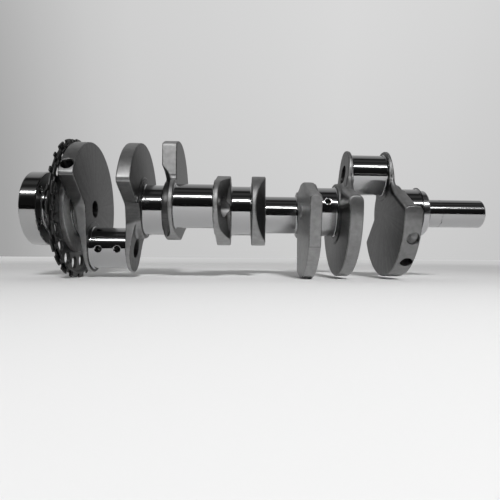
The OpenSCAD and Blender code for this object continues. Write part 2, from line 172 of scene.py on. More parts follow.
def polygon_field(u, v, path):
    """Signed distance to a closed path, negative inside."""
    shape = np.broadcast(u, v).shape
    p = np.stack([np.broadcast_to(u, shape).ravel(), np.broadcast_to(v, shape).ravel()], 1)
    best = np.full(len(p), 1e9)
    inside = np.zeros(len(p), bool)
    for a, b in zip(path, np.roll(path, -1, 0)):
        edge = b - a
        along = np.clip(((p - a) @ edge) / (edge @ edge), 0, 1)
        gap = p - a - along[:, None] * edge
        best = np.minimum(best, np.einsum("ij,ij->i", gap, gap))
        if a[1] != b[1]:
            crosses = (a[1] > p[:, 1]) != (b[1] > p[:, 1])
            inside ^= crosses & (p[:, 0] < edge[0] * (p[:, 1] - a[1]) / edge[1] + a[0])
    return (np.where(inside, -1, 1) * np.sqrt(best)).reshape(shape)


def round_corners(path):
    """A closed path of (x, y, corner radius) as points."""
    made = []
    count = len(path)
    for i, (x, y, r) in enumerate(path):
        p = np.array([x, y], float)
        if r == 0:
            made.append(p)
            continue
        before = np.array(path[i - 1][:2], float) - p
        after = np.array(path[(i + 1) % count][:2], float) - p
        before /= np.linalg.norm(before)
        after /= np.linalg.norm(after)
        half = math.acos(before @ after) / 2
        middle = before + after
        centre = p + middle / np.linalg.norm(middle) * r / math.sin(half)
        start = p + before * r / math.tan(half) - centre
        end = p + after * r / math.tan(half) - centre
        a0, a1 = math.atan2(start[1], start[0]), math.atan2(end[1], end[0])
        turn = (a1 - a0 + math.pi) % (2 * math.pi) - math.pi
        steps = math.ceil(abs(turn) / math.radians(5))
        for k in range(steps + 1):
            t = a0 + turn * k / steps
            made.append(centre + r * np.array([math.cos(t), math.sin(t)]))
    return np.array(made)


def on_web(r, a):
    """Point of a web at radius r and a degrees from its rod journal."""
    return np.array([r * math.sin(math.radians(a)), r * math.cos(math.radians(a))])


def waves(x, y, z, size, seed):
    """Smooth irregular bumps from -1 to 1, about as wide as size."""
    random = np.random.RandomState(seed)
    total = 0
    for _ in range(9):
        way = random.normal(size=3)
        way *= 2 * math.pi / (size * random.uniform(0.7, 1.7) * np.linalg.norm(way))
        phase = random.uniform(0, 6.28)
        total = total + np.sin(way[0] * x + way[1] * y + way[2] * z + phase)
    return total / 4


# ---------------------------------------------------------------- meshes from fields
CORNERS = np.array([[i, j, k] for i in (0, 1) for j in (0, 1) for k in (0, 1)])
EDGES = [(0, 4), (1, 5), (2, 6), (3, 7), (0, 2), (1, 3),
         (4, 6), (5, 7), (0, 1), (2, 3), (4, 5), (6, 7)]


def slopes(field, p, h):
    """Gradient of a field at points p, measured over steps of h."""
    out = np.empty_like(p)
    for axis in range(3):
        step = np.zeros(3)
        step[axis] = h
        a, b = p + step, p - step
        out[:, axis] = (field(*a.T) - field(*b.T)) / (2 * h)
    return out


def mesh_field(field, low, high, step):
    """Points, normals and quads of the surface where the field is 0."""
    axes = [np.arange(a - 1.37 * step, b + 2 * step, step) for a, b in zip(low, high)]
    nx, ny, nz = [len(a) for a in axes]
    x, y, z = axes
    value = field(x[:, None, None], y[None, :, None], z[None, None, :])
    value = np.broadcast_to(value, (nx, ny, nz))
    inside = value < 0
    count = sum(inside[i:nx - 1 + i, j:ny - 1 + j, k:nz - 1 + k].astype(np.int8)
                for i, j, k in CORNERS)
    cells = np.argwhere((count > 0) & (count < 8))
    number = np.full((nx - 1, ny - 1, nz - 1), -1)
    number[tuple(cells.T)] = np.arange(len(cells))
    at = cells[:, None, :] + CORNERS[None]
    corner = value[at[..., 0], at[..., 1], at[..., 2]]
    total, hits = np.zeros((len(cells), 3)), np.zeros(len(cells))
    for a, b in EDGES:
        va, vb = corner[:, a], corner[:, b]
        cut = (va < 0) != (vb < 0)
        t = np.where(cut, va / np.where(cut, va - vb, 1), 0)
        total += np.where(cut[:, None], CORNERS[a] + t[:, None] * (CORNERS[b] - CORNERS[a]), 0)
        hits += cut
    start = np.array([a[0] for a in axes])
    p = start + (cells + total / hits[:, None]) * step
    for _ in range(3):
        g = slopes(field, p, 0.02)
        f = field(*p.T)
        move = g * (f / np.maximum(np.einsum("ij,ij->i", g, g), 0.3))[:, None]
        length = np.linalg.norm(move, axis=1)
        p -= move * np.minimum(1, 0.5 * step / np.maximum(length, 1e-9))[:, None]
    g = slopes(field, p, 0.03)
    normal = g / np.maximum(np.linalg.norm(g, axis=1), 1e-9)[:, None]
    quads = []
    for axis in range(3):
        a, b = np.delete([0, 1, 2], axis)
        first = np.moveaxis(inside, axis, 0)
        change = np.argwhere(np.moveaxis(first[1:] != first[:-1], 0, axis))
        change = change[(change[:, a] > 0) & (change[:, b] > 0)]
        around = []
        for da, db in ((0, 0), (1, 0), (1, 1), (0, 1)):
            c = change.copy()
            c[:, a] -= da
            c[:, b] -= db
            around.append(number[tuple(c.T)])
        q = np.stack(around, 1)
        backward = inside[tuple(change.T)] == (axis == 1)
        q[backward] = q[backward][:, ::-1]
        quads.append(q)
    return p, normal, np.concatenate(quads)


def make_object(name, p, normal, quads, zone=None):
    """Smooth mesh with its own normals; zone is the finish of each point, for its material, and on
    some points it carries painted shade and painted highlights.
    """
    mesh = bpy.data.meshes.new(name)
    mesh.vertices.add(len(p))
    mesh.vertices.foreach_set("co", (p * MM).astype(np.float32).ravel())
    mesh.loops.add(quads.size)
    mesh.loops.foreach_set("vertex_index", quads.astype(np.int32).ravel())
    mesh.polygons.add(len(quads))
    mesh.polygons.foreach_set("loop_start", np.arange(0, quads.size, 4, dtype=np.int32))
    mesh.polygons.foreach_set("use_smooth", np.ones(len(quads), bool))
    mesh.update()
    mesh.validate()
    if zone is not None:
        attribute = mesh.attributes.new("zone", "FLOAT", "POINT")
        attribute.data.foreach_set("value", zone.astype(np.float32))
    mesh.normals_split_custom_set_from_vertices(normal.tolist())
    made = bpy.data.objects.new(name, mesh)
    bpy.context.scene.collection.objects.link(made)
    return made


def place(made, node, material):
    """Give a piece its material and let it stand in for a CAD node."""
    made.data.materials.append(material)
    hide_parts(node)
    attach(made, "root")
    return made


# ---------------------------------------------------------------- webs
def is_skewed(n):
    return WEB_ANGLES[n - 1] is not None and WEB_ANGLES[n - 1][0] < 90


def past_flat(n, u, v):
    """Distance from the shaft axis towards the flat on the rim of a skewed counterweight."""
    flat = math.radians(WEB_ANGLES[n - 1][1] + FLAT_TURN)
    return -u * math.sin(flat) + v * math.cos(flat)


# The outlines run through (u, v, corner radius); their far corners lie outside the rim, which
# cuts them off
def trailing_path(a, b):
    """Outline of a web whose counterweight lies opposite its rod journal."""
    out_a, out_b = on_web(WEIGHT_R, a), on_web(WEIGHT_R, -b)
    neck_a, neck_b = np.array([NECK + 0.5, 0]), np.array([2 - NECK, 30])
    far_a, far_b = neck_a + 1.6 * (out_a - neck_a), neck_b + 1.6 * (out_b - neck_b)
    return [(PIN_END_R, THROW, 0), (*neck_a, 18), (*far_a, 0), (far_a[0], -120, 0),
            (far_b[0], -120, 0), (*far_b, 0), (*neck_b, 30), (-PIN_END_R, THROW, 0)]


def skewed_path(a, b):
    """Outline of a web whose counterweight lies to one side of its rod journal."""
    out_a, out_b = on_web(SKEWED_R, a), on_web(SKEWED_R, -b)
    neck_a, neck_b = np.array([PIN_END_R + 1, 43]), np.array([-27, -41])
    far_a, far_b = neck_a + 1.5 * (out_a - neck_a), neck_b + 1.5 * (out_b - neck_b)
    return [(PIN_END_R, THROW, 0), (*neck_a, 6), (*far_a, 0), (120, -120, 0),
            (far_b[0], -120, 0), (*far_b, 0), (*neck_b, 30), (-HUB_R, -6, 30),
            (-PIN_END_R, THROW, 0)]


def round_path():
    """Outline of a web without a counterweight: a disc round the axis joined to the pin end."""
    lean = math.asin((DISC_R - PIN_END_R) / THROW)
    hub = np.linspace(math.pi - lean, 2 * math.pi + lean, 60)
    pin = np.linspace(lean, math.pi - lean, 40)
    return np.concatenate([DISC_R * np.stack([np.cos(hub), np.sin(hub)], 1),
                           PIN_END_R * np.stack([np.cos(pin), np.sin(pin)], 1) + [0, THROW]])


def weight_field(n, u, v, w, flanks, rough):
    """Field of a web with a counterweight before its pads and holes, and its outline."""
    axis_r, pin_r = np.hypot(u, v), np.hypot(u, v - THROW)
    relief, skewed, edge_r = WEB_RELIEF[n - 1], is_skewed(n), EDGE_R.get(n, USUAL_EDGE_R)
    rim = axis_r - (SKEWED_R if skewed else WEIGHT_R)
    if skewed:
        rim = rmax(rim, past_flat(n, u, v) - FLAT_R, 1.2)
    ends = np.minimum(pin_r - PIN_END_R, axis_r - MAIN_PAD_R)
    outline = rmin(rmax(flanks, rim, CORNER_R[n]), ends, 2)

    if relief < 0:
        step = rmax(rmax(w - WEB_T + relief, v - RELIEF_V, 2), RELIEF_R - axis_r, 1)
        top = rmin(w - WEB_T, step, 1)
    else:
        cut = rmax(rmax(WEB_T - relief - w, v - RELIEF_V, 3), RELIEF_R - axis_r, 2)
        top = rmax(w - WEB_T, -cut, 1.2)
    hollow = np.hypot(v - SCOOP_V, w - TIP_T - SCOOP_R) - SCOOP_R
    hollow = rmax(rmax(hollow, MAIN_PAD_R + 0.5 - axis_r, 3), SCOOP_END_V - v, 6)
    if skewed:
        hollow = rmax(hollow, np.abs(u) - SKEWED_SCOOP_U, 30)
    else:
        hollow = rmax(hollow, np.abs(u) - (NECK + 3), 4)
    if n == 8:
        nose = (WEB_T - (v - NOSE_V) * NOSE_SLOPE - w) / NOSE_SCALE
        notch = rmax(rmax(NOSE_T - w, nose, 4), MAIN_PAD_R - 2 - axis_r, 3)
        hollow = np.minimum(hollow, notch)
    top = rmax(top, -hollow - rough, 1.5)

    if n in FLANK_EDGE_R:
        round_r = FLANK_EDGE_R[n]
        ends = rmax(rmax(ends + rough, top, edge_r), -w, edge_r)
        flanks = rmax(rmax(flanks + rough, top, round_r), -w, round_r)
        return np.minimum(rmax(flanks, rim, edge_r), ends), outline
    return rmax(rmax(outline + rough, top, edge_r), -w, edge_r), outline


def disc_field(u, v, w, outline, rough):
    """Field of a round web before its pads and holes, with a sloped tip and back edge."""
    slope = math.radians(TIP_SLOPE)
    plane = (v - TIP_START) * math.sin(slope) + (w - TIP_T) * math.cos(slope)
    lens = rmax(rmax(-plane, TIP_T - w, 12), MAIN_PAD_R - np.hypot(u, v), 7)
    top = rmax(w - WEB_T, -lens, 0.8)
    back = math.atan2(BACK_CUT, DISC_R - BACK_START)
    under = -(v + BACK_START) * math.sin(back) - w * math.cos(back)
    return rmax(rmax(outline + rough, top, 1.4), rmax(-w, under, 2), 1.4)


def web_field(n):
    """Field of web n in its own axes: pin towards +v, main journal towards +w."""
    angles, skewed = WEB_ANGLES[n - 1], is_skewed(n)
    if angles is None:
        path = round_path()
    else:
        path = round_corners(skewed_path(*angles) if skewed else trailing_path(*angles))
    rim_r = SKEWED_R if skewed else WEIGHT_R

    def field(u, v, w):
        axis_r, pin_r = np.hypot(u, v), np.hypot(u, v - THROW)
        outline = polygon_field(u, v, path)
        rough = (waves(u, v, w, BROAD[0], n) * BROAD[1]
                 + waves(u, v, w, FINE[0], n + 20) * FINE[1])
        if angles is None:
            body = disc_field(u, v, w, outline, rough)
        else:
            body, outline = weight_field(n, u, v, w, outline, rough)

        pad = np.maximum(np.maximum(outline + 0.6, pin_r - ROD_PAD_R), -PAD - w)
        body = np.minimum(body, rmax(pad, w - 2, 0.3))
        hub = rmax(axis_r - MAIN_PAD_R, w - WEB_T - PAD, 0.3)
        body = np.minimum(body, rmax(hub, WEB_T - 2 - w, 0.3))
        body = rmax(body, ROD_BORE_R - pin_r, 0.7)
        if n > 2:
            body = rmax(body, AXIS_BORE_R - axis_r, 0.4)
        for w_off, angle, depth in BALANCE_HOLES.get(n, ()):
            a = math.radians(angle)
            along = u * math.cos(a) + v * math.sin(a)
            off = np.hypot(-u * math.sin(a) + v * math.cos(a), w - w_off)
            floor_at = rim_r - depth
            hole = np.maximum(off - BALANCE_R, floor_at - along)
            cone = (off - (along - floor_at + BALANCE_R / 2) * 2) / 2.24
            body = rmax(body, -np.minimum(hole, np.maximum(cone, along - floor_at)), 0.6)
        return body

    return field


def web_zone(n, p, normal):
    """Finish of each point of web n, in the web's own axes; some zones are painted shade and one
    is a painted highlight.
    """
    u, v, w = p.T
    axis_r = np.hypot(u, v)
    sides = np.abs(normal[:, 2]) < 0.5
    shine = RIM_SHINE.get(n, USUAL_SHINE)
    # Cheeks, with a soft change where they round off
    zone = TURNED * np.clip((np.abs(normal[:, 2]) - 0.75) / 0.15, 0, 1)
    rim = past_flat(n, u, v) > FLAT_R - 0.7 if is_skewed(n) else axis_r > WEIGHT_R - 1.2
    zone[rim & sides] = shine
    if n == 3:
        # Side beside rod journal 2
        zone[normal[:, 2] < -0.5] = DULL
    if n == 6:
        # Whole flank of the counterweight, and the face beside main journal 4
        zone[sides & (u > 40)] = shine
        zone[(axis_r < MAIN_PAD_R + 1.5) & (w > 7)] = TURNED
    # The walls of the rod bore take the dark turned colour, which is painted shade inside the bore
    bore = np.hypot(u, v - THROW) < ROD_BORE_R + 0.6
    zone[bore] = TURNED
    if n == 5:
        # Brighter colour on the low side of the open bore, a painted highlight where light falls
        # into it
        painted_highlight_side = (THROW - v[bore] - u[bore]) / math.sqrt(2)
        zone[bore] += 0.5 * np.clip((painted_highlight_side - 7) / 4, 0, 1)
    if n > 6:
        # Flank between counterweight and neck, with painted shade up to a slanted line
        ends_at = 1.04 * w - 9 if n == 8 else 24 - 0.3 * w
        under = (axis_r < WEIGHT_R - 3) & (u > 0) & (v < 25) & sides
        zone[under] = PAINTED_SHADE * np.clip((ends_at - v)[under] / 3, 0, 1)
    if n == 8:
        zone[axis_r < AXIS_BORE_R + 0.5] = TURNED
    return zone


def web_to_world(n, p):
    """Points or directions of web n, turned from its own axes to the shaft's."""
    turn = math.radians(PIN_ANGLES[WEB_PIN[n - 1]] - 90)
    u, v, w = p.T
    return np.stack([WEB_SIDE[n - 1] * w, u * math.cos(turn) - v * math.sin(turn),
                     u * math.sin(turn) + v * math.cos(turn)], 1)


def build_web(n, material):
    if WEB_ANGLES[n - 1] is None:
        reach = 50
    else:
        reach = (SKEWED_R if is_skewed(n) else WEIGHT_R) + 1
    low, high = (-reach, -reach, -1), (reach, max(reach, THROW + PIN_END_R + 1), WEB_T + 5)
    p, normal, quads = mesh_field(web_field(n), low, high, WEB_STEP)
    zone = web_zone(n, p, normal)
    world_p, world_n = web_to_world(n, p), web_to_world(n, normal)
    world_p[:, 0] += PIN_X[WEB_PIN[n - 1]] + WEB_SIDE[n - 1] * HALF_GAP
    if WEB_SIDE[n - 1] < 0:
        quads = quads[:, ::-1]
    made = make_object("web_%d_look" % n, world_p, world_n, quads, zone)
    return place(made, "web_%d" % n, material)


# ---------------------------------------------------------------- journals
def journal_field(radius, width, holes, bore, seat_end=None):
    """Field of a ground journal; seat_end is where the pilot bearing seat in its bore ends."""
    half = width / 2

    def field(x, y, z):
        r = np.hypot(y, z)
        edge = half - np.abs(x)
        swell = np.maximum(FILLET - edge, 0)
        lift = FILLET - np.sqrt(np.maximum(FILLET ** 2 - np.minimum(swell, FILLET) ** 2, 0))
        # The fillet, with its field kept close to a distance where it is steep
        barrel = (r - radius - lift) / np.sqrt(1 + np.minimum(swell / FILLET, 0.95) ** 2 * 3)
        body = np.maximum(barrel, -edge)
        if bore:
            body = rmax(body, bore - r, 0.5)
        if seat_end is not None:
            body = rmax(body, -np.maximum(r - PILOT_SEAT_R, x - seat_end), 0.3)
        for offset, angle, drill_r, mouth in holes:
            a = math.radians(angle)
            along = y * math.cos(a) + z * math.sin(a)
            off = np.hypot(x - offset, -y * math.sin(a) + z * math.cos(a))
            flare = (off - drill_r - (along - radius + mouth) * OIL_FLARE) / OIL_FLARE_SCALE
            drill = np.maximum(np.minimum(off - drill_r, flare), OIL_END - along)
            body = rmax(body, -drill, 0.35)
        return body

    return field


def build_journal(node, place_at, radius, width, holes, bore, material, seat_end=None):
    reach = radius + FILLET
    low, high = (-width / 2, -reach, -reach), (width / 2, reach, reach)
    field = journal_field(radius, width, holes, bore, seat_end)
    p, normal, quads = mesh_field(field, low, high, JOURNAL_STEP)
    made = make_object(node + "_look", p + place_at, normal, quads)
    return place(made, node, material)


# ---------------------------------------------------------------- timing wheel
def plate_field(x0, rim_forward, wide):
    """Field of a timing plate whose rim is dished forward; wide says which teeth are wide."""
    pitch = 360 / len(TEETH)
    width = [WIDE_TOOTH if t == wide else NARROW_TOOTH for t in TEETH]

    def field(x, y, z):
        r = np.hypot(y, z)
        flat = rmax(r - WHEEL_R, SEAT_R - r, 0.3)
        for i, w in enumerate(width):
            gap = pitch - w / 2 - width[(i + 1) % len(TEETH)] / 2
            a = math.radians(FIRST_TOOTH + i * pitch + w / 2 + gap / 2)
            half = WHEEL_R * math.sin(math.radians(gap / 2))
            along = y * math.cos(a) + z * math.sin(a)
            off = np.abs(-y * math.sin(a) + z * math.cos(a))
            slot = rmax(off - half, WHEEL_R - TOOTH_H - along, 0.8)
            flat = rmax(flat, -slot, 0.7)
        for i in range(WINDOW_COUNT):
            a = math.radians(FIRST_WINDOW + i * 360 / WINDOW_COUNT)
            off = np.hypot(y - WINDOW_R * math.cos(a), z - WINDOW_R * math.sin(a))
            flat = np.maximum(flat, WINDOW_D / 2 - off)
        # Middle of the sheet along a smooth step, and its slope there
        t = np.clip((r - STEP_R1) / (STEP_R2 - STEP_R1), 0, 1)
        centre = x0 + PLATE_T / 2 + rim_forward * t * t * (3 - 2 * t)
        lean = 1.5 * rim_forward / (STEP_R2 - STEP_R1) * 4 * t * (1 - t)
        sheet = (np.abs(x - centre) - PLATE_T / 2) / np.sqrt(1 + lean * lean)
        return rmax(flat, sheet, 0.45)

    return field


def build_plate(node, rim_forward, wide, material):
    x0 = extent(node)[0]
    low = (x0, -WHEEL_R, -WHEEL_R)
    high = (x0 + PLATE_T + rim_forward, WHEEL_R, WHEEL_R)
    field = plate_field(x0, rim_forward, wide)
    made = make_object(node + "_look", *mesh_field(field, low, high, PLATE_STEP))
    return place(made, node, material)


# ---------------------------------------------------------------- turned pieces
def lathe(profile, cuts=(), edge=0.5):
    """Field of a solid turned round the shaft axis from an outline of (x, r), with extra cuts."""
    path = np.array(profile, float)

    def field(x, y, z):
        body = polygon_field(x, np.hypot(y, z), path)
        for cut in cuts:
            body = rmax(body, -cut(x, y, z), edge)
        return body

    return field


def between(x, x0, x1):
    """Distance outside the slab from x0 to x1, negative inside."""
    return np.abs(x - (x0 + x1) / 2) - (x1 - x0) / 2


def hole_along(y0, z0, r, x0, x1):
    """Field of a straight hole along the shaft."""
    return lambda x, y, z: np.maximum(np.hypot(y - y0, z - z0) - r, between(x, x0, x1))


def ring_profile(node, inner, outer, chamfer):
    """Outline of a ring as long as its CAD node, with a chamfer at its rear and front end."""
    x0, x1 = extent(node)
    return [(x0, inner), (x0, outer - chamfer[0]), (x0 + chamfer[0], outer),
            (x1 - chamfer[1], outer), (x1, outer - chamfer[1]), (x1, inner)]


def build_turned(node, field, reach, material, shine=0.0):
    """Mesh a turned piece; shine is its finish except on the faces that look to the snout."""
    x0, x1 = extent(node)
    low, high = (x0, -reach, -reach), (x1, reach, reach)
    p, normal, quads = mesh_field(field, low, high, SMALL_STEP[node])
    zone = np.where(normal[:, 0] > 0.8, END_FACE, shine)
    made = make_object(node + "_look", p, normal, quads, zone)
    return place(made, node, material)


def build_flange(material):
    x0, x1 = extent("rear_flange")
    r = FLANGE_R
    profile = [(x0, PAST_AXIS), (x0, r - 1.5), (x0 + 0.6, r - 0.4), (x0 + 1.5, r),
               (x1 - 1, r), (x1, r - 1), (x1, PAST_AXIS)]
    cuts = [hole_along(0, 0, PILOT_R, x0 - 5, x0 + PILOT_L),
            hole_along(0, 0, PILOT_SEAT_R, x0 - 5, x1 + 5)]
    for i in range(BOLT_COUNT):
        a = math.radians(90 + 360 / BOLT_COUNT * i)
        cuts.append(hole_along(BOLT_CIRCLE_R * math.cos(a), BOLT_CIRCLE_R * math.sin(a),
                               BOLT_HOLE_R, x0 - 5, x1 + 5))
    return build_turned("rear_flange", lathe(profile, cuts), r, material)


def from_key(y, z):
    """Distances along and across the direction in which the key points."""
    turn = math.radians(90 - KEY_ANGLE)
    return y * math.cos(turn) + z * math.sin(turn), -y * math.sin(turn) + z * math.cos(turn)


def build_snout(material):
    x0, x1 = extent("snout")
    r = SNOUT_R
    seat, groove_r = x0 + GEAR_SEAT_L, r - GEAR_SEAT_GROOVE
    profile = [(x0, PAST_AXIS), (x0, r), (seat, r), (seat + 0.4, groove_r), (seat + 1.4, groove_r),
               (seat + 1.41, r), (x1 - 2, r), (x1, r - 2), (x1, PAST_AXIS)]

    def key_pocket(x, y, z):
        along, across = from_key(y, z)
        pocket = np.maximum(np.abs(across) - KEY_HALF_W, r - KEY_POCKET_DEPTH - along)
        return np.maximum(pocket, np.abs(x - x0 - KEY_POCKET_X) - KEY_POCKET_HALF_L)

    def bolt_hole(x, y, z):
        hole_r = np.hypot(y, z)
        turns = ((x - x1) / THREAD_PITCH + np.arctan2(z, y) / (2 * math.pi)) % 1
        thread = THREAD_DEPTH * (1 - np.abs(turns * 2 - 1))
        mouth = (hole_r - BOLT_R - np.maximum(x - x1 + 1.5, 0)) * 0.75
        return np.maximum(np.minimum(hole_r - BOLT_R - thread, mouth), x1 - BOLT_DEPTH - x)

    field = lathe(profile, [key_pocket, bolt_hole], 0.3)
    return build_turned("snout", field, r, material)


def build_key(material):
    x0, x1 = extent("snout_key")

    def field(x, y, z):
        along, across = from_key(y, z)
        sides = rmax(between(x, x0, x1), np.abs(across) - KEY_HALF_W, 1.2)
        return rmax(sides, np.abs(along - KEY_R) - KEY_HALF_H, 0.4)

    return build_turned("snout_key", field, 22, material)


def build_front_hub(material):
    field = lathe(ring_profile("front_hub", PAST_AXIS, FRONT_HUB_R, (0.3, 2.0)))
    return build_turned("front_hub", field, FRONT_HUB_R, material)


def build_register(material):
    field = lathe(ring_profile("reluctor_register", AXIS_BORE_R, SEAT_R, (0.4, 0.4)))
    return build_turned("reluctor_register", field, SEAT_R, material,
                        SEAT_SHINE)


def build_plug(material):
    x0, x1 = extent("rear_bore_plug")
    r, wall = AXIS_BORE_R, 1.2
    profile = [(x0, r - wall), (x0, r), (x1 - 1, r), (x1, r - 1), (x1, PAST_AXIS),
               (x1 - wall, PAST_AXIS), (x1 - wall, r - wall)]
    return build_turned("rear_bore_plug", lathe(profile), r, material)


def build_rivets(material):
    """Rivets with domed heads, one between every second pair of windows."""
    x0, x1 = extent("reluctor_rivets")
    reach = RIVET_HEAD_R
    dome_r = (RIVET_HEAD_R ** 2 + RIVET_HEAD_T ** 2) / (2 * RIVET_HEAD_T)

    def field(x, y, z):
        r = np.hypot(y, z)
        front = rmax(np.hypot(x - x1 + dome_r, r) - dome_r, x1 - RIVET_HEAD_T - x, 0.2)
        back = rmax(np.hypot(x - x0 - dome_r, r) - dome_r, x - x0 - RIVET_HEAD_T, 0.2)
        shank = np.maximum(r - RIVET_SHANK_R, np.abs(x - (x0 + x1) / 2) - RIVET_SHANK_HALF)
        return np.minimum(np.minimum(front, back), shank)

    p, normal, quads = mesh_field(field, (x0, -reach, -reach), (x1, reach, reach),
                                  SMALL_STEP["reluctor_rivets"])
    places = []
    for i in range(RIVET_COUNT):
        a = math.radians(FIRST_RIVET + i * 360 / RIVET_COUNT)
        places.append(p + [0, WINDOW_R * math.cos(a), WINDOW_R * math.sin(a)])
    quads = np.concatenate([quads + i * len(p) for i in range(RIVET_COUNT)])
    normal = np.tile(normal, (RIVET_COUNT, 1))
    made = make_object("reluctor_rivets_look", np.concatenate(places), normal, quads)
    return place(made, "reluctor_rivets", material)


# ---------------------------------------------------------------- node helpers
def node_tree(owner):
    """Empty node tree of a material or world."""
    owner.use_nodes = True
    tree = owner.node_tree
    tree.nodes.clear()
    return tree


def add_node(tree, kind, **settings):
    """New node, with values for its sockets or its own settings by name."""
    made = tree.nodes.new(kind)
    for name, value in settings.items():
        if name in made.inputs:
            made.inputs[name].default_value = value
        else:
            setattr(made, name, value)
    return made


def ramp(tree, factor, stops):
    """Grey level by factor, from stops of (factor, level)."""
    made = tree.nodes.new("ShaderNodeValToRGB")
    elements = made.color_ramp.elements
    while len(elements) > 1:
        elements.remove(elements[-1])
    for index, (at, level) in enumerate(stops):
        element = elements[0] if index == 0 else elements.new(at)
        element.position = at
        element.color = (level, level, level, 1)
    tree.links.new(factor, made.inputs["Fac"])
    return made.outputs["Color"]


def multiply(tree, a, b, amount=1.0):
    """Colour a times colour b, with the amount as a number or an output."""
    made = add_node(tree, "ShaderNodeMix", data_type="RGBA", blend_type="MULTIPLY")
    if isinstance(amount, float):
        made.inputs[0].default_value = amount
    else:
        tree.links.new(amount, made.inputs[0])
    tree.links.new(a, made.inputs[6])
    tree.links.new(b, made.inputs[7])
    return made.outputs[2]


def zone_value(tree):
    """Finish of the surface point, from the mesh; some zones carry painted shade and painted
    highlights.
    """
    return add_node(tree, "ShaderNodeAttribute", attribute_name="zone").outputs["Fac"]


# ---------------------------------------------------------------- materials
def surface(name, base, roughness, metallic=1.0, **extra):
    """Material with its tree and shader; extra names more of the shader's sockets."""
    material = bpy.data.materials.new(name)
    tree = node_tree(material)
    shader = tree.nodes.new("ShaderNodeBsdfPrincipled")
    shader.inputs["Base Color"].default_value = (*base, 1)
    shader.inputs["Roughness"].default_value = roughness
    shader.inputs["Metallic"].default_value = metallic
    for key, value in extra.items():
        shader.inputs[key.replace("_", " ")].default_value = value
    out = tree.nodes.new("ShaderNodeOutputMaterial")
    tree.links.new(shader.outputs[0], out.inputs[0])
    return material, tree, shader


def noise(tree, scale, stretch=(1, 1, 1), detail=3.0):
    """Noise in the shaft's frame; scale is in bumps per metre."""
    where = tree.nodes.new("ShaderNodeTexCoord")
    mapping = add_node(tree, "ShaderNodeMapping", Scale=stretch)
    tree.links.new(where.outputs["Object"], mapping.inputs["Vector"])
    made = add_node(tree, "ShaderNodeTexNoise", Scale=scale, Detail=detail)
    tree.links.new(mapping.outputs[0], made.inputs["Vector"])
    return made.outputs["Fac"]


def bump(tree, shader, height, distance, strength, base=None):
    """Raise the surface by height times distance, in metres, on top of a base bump."""
    made = add_node(tree, "ShaderNodeBump", Strength=strength, Distance=distance)
    tree.links.new(height, made.inputs["Height"])
    if base is not None:
        tree.links.new(base.outputs[0], made.inputs["Normal"])
    tree.links.new(made.outputs[0], shader.inputs["Normal"])
    return made


def ground_steel(name="ground_steel", face=None):
    """Steel ground round the shaft; face is a darker colour, painted shade, for the faces that
    look towards the snout, which are also rougher.
    """
    material, tree, shader = surface(name, (0.5, 0.5, 0.505), 0.12, Anisotropic=0.9,
                                     Anisotropic_Rotation=0.25)
    tangent = add_node(tree, "ShaderNodeTangent", direction_type="RADIAL", axis="X")
    tree.links.new(tangent.outputs[0], shader.inputs["Tangent"])
    lines = noise(tree, 700, (1, 0.02, 0.02), 2)
    bump(tree, shader, lines, 0.000012, 0.5)
    if face is not None:
        zone = zone_value(tree)
        tree.links.new(ramp(tree, zone, [(0.4, 0.5), (0.6, face)]), shader.inputs["Base Color"])
        tree.links.new(ramp(tree, zone, [(0.4, 0.1), (0.6, 0.45)]), shader.inputs["Roughness"])
    return material


def rays(tree):
    """Noise that depends only on the direction from the shaft axis."""
    where = tree.nodes.new("ShaderNodeTexCoord")
    flat = add_node(tree, "ShaderNodeVectorMath", operation="MULTIPLY")
    flat.inputs[1].default_value = (0, 1, 1)
    way = add_node(tree, "ShaderNodeVectorMath", operation="NORMALIZE")
    tree.links.new(where.outputs["Object"], flat.inputs[0])
    tree.links.new(flat.outputs[0], way.inputs[0])
    made = add_node(tree, "ShaderNodeTexNoise", Scale=13.0, Detail=3.0)
    tree.links.new(way.outputs[0], made.inputs["Vector"])
    return made.outputs["Fac"]


def forging():
    """Blasted steel, darker on turned cheeks, where streaks from the axis are a painted sheen, and
    brighter on rims; some zones hold painted shade and painted highlights.
    """
    material, tree, shader = surface("blasted_forging", (0.4, 0.4, 0.41), 0.45)
    zone = zone_value(tree)
    colour = ramp(tree, zone, [(0.0, 0.38), (0.45, 0.11), (0.55, 0.11), (0.8, 0.34), (1.0, 0.62)])
    patch = ramp(tree, noise(tree, 160, detail=6), [(0.3, 0.86), (0.7, 1.1)])
    turned_zone = ramp(tree, zone, [(0.38, 0.0), (0.46, 1.0), (0.54, 1.0), (0.62, 0.1)])
    # Streaks from the axis on turned cheeks: a painted sheen, the highlight that turning marks
    # throw
    painted_sheen_streaks = ramp(tree, rays(tree), [(0.36, 0.84), (0.64, 1.14)])
    base = multiply(tree, multiply(tree, colour, patch), painted_sheen_streaks, turned_zone)
    tree.links.new(base, shader.inputs["Base Color"])
    rough = ramp(tree, zone, [(0.0, 0.5), (0.45, 0.42), (0.55, 0.42), (0.8, 0.38), (1.0, 0.6)])
    tree.links.new(rough, shader.inputs["Roughness"])
    rings = add_node(tree, "ShaderNodeTexWave", wave_type="RINGS", rings_direction="X",
                     Scale=110.0, Distortion=1.5, Detail=2.0)
    where = tree.nodes.new("ShaderNodeTexCoord")
    tree.links.new(where.outputs["Object"], rings.inputs["Vector"])
    turned_face = bump(tree, shader, rings.outputs["Fac"], 0.00004, 0.35)
    grain = bump(tree, shader, noise(tree, 420, detail=4), 0.0003, 0.3, turned_face)
    bump(tree, shader, noise(tree, 1800), 0.0001, 0.3, grain)
    return material


